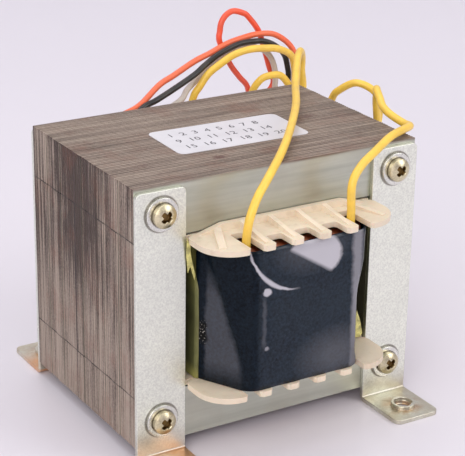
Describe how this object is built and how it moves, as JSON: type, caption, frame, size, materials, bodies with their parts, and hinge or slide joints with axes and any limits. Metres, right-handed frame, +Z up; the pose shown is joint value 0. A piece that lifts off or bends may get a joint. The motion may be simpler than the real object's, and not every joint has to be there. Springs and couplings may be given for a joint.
{
  "type": "laminated chassis transformer",
  "caption": "Mains transformer with a laminated EI core clamped between angle brackets, a comb bobbin with wrapped winding, and flying leads for wiring inside a chassis.",
  "frame": {"origin": "centre of the foot rectangle, on the mounting surface under the feet", "axes": "+Z up from the mounting surface, +Y through the core's stack from the side with two leads to the side with four, +X to the right seen along +Y"},
  "size_m": [0.1037, 0.1292, 0.0914],
  "materials": {
    "lamination_steel": "varnished, fine layered edges with light rust",
    "bobbin_nylon": "satin moulded",
    "copper_wire": "enamelled",
    "insulating_tape": "satin",
    "wrap_film": "clear film over dark crepe",
    "side_film": "translucent film",
    "zinc_sheet": "satin zinc",
    "yellow_zinc": "yellow passivated zinc",
    "bright_zinc": "bright zinc",
    "label_paper": "coated paper",
    "yellow_insulation": "satin PVC",
    "orange_insulation": "satin PVC",
    "black_insulation": "satin PVC",
    "white_insulation": "satin PVC",
    "red_insulation": "satin PVC",
    "tinned_copper": "tinned"
  },
  "bodies": {
    "root": {"e_packet_01": "lamination_steel", "e_packet_02": "lamination_steel", "e_packet_03": "lamination_steel", "e_packet_04": "lamination_steel", "e_packet_05": "lamination_steel", "e_packet_06": "lamination_steel", "e_packet_07": "lamination_steel", "e_packet_08": "lamination_steel", "e_packet_09": "lamination_steel", "e_packet_10": "lamination_steel", "e_packet_11": "lamination_steel", "e_packet_12": "lamination_steel", "e_packet_13": "lamination_steel", "e_packet_14": "lamination_steel", "i_packet_01": "lamination_steel", "i_packet_02": "lamination_steel", "i_packet_03": "lamination_steel", "i_packet_04": "lamination_steel", "i_packet_05": "lamination_steel", "i_packet_06": "lamination_steel", "i_packet_07": "lamination_steel", "i_packet_08": "lamination_steel", "i_packet_09": "lamination_steel", "i_packet_10": "lamination_steel", "i_packet_11": "lamination_steel", "i_packet_12": "lamination_steel", "i_packet_13": "lamination_steel", "i_packet_14": "lamination_steel", "bobbin": "bobbin_nylon", "primary_winding": "copper_wire", "interlayer_tape": "insulating_tape", "secondary_winding": "copper_wire", "outer_wrap": "wrap_film", "side_film_left": "side_film", "side_film_right": "side_film", "bracket_front_left": "zinc_sheet", "bracket_front_right": "zinc_sheet", "bracket_rear_left": "zinc_sheet", "bracket_rear_right": "zinc_sheet", "clamp_screws": "yellow_zinc", "front_washers": "bright_zinc", "rear_washers": "bright_zinc", "spring_washers": "bright_zinc", "nuts": "bright_zinc", "label": "label_paper", "lead_yellow_left": "yellow_insulation", "lead_yellow_right": "yellow_insulation", "lead_orange": "orange_insulation", "lead_black": "black_insulation", "lead_white": "white_insulation", "lead_red": "red_insulation", "tinned_ends": "tinned_copper"}
  },
  "joints": []
}
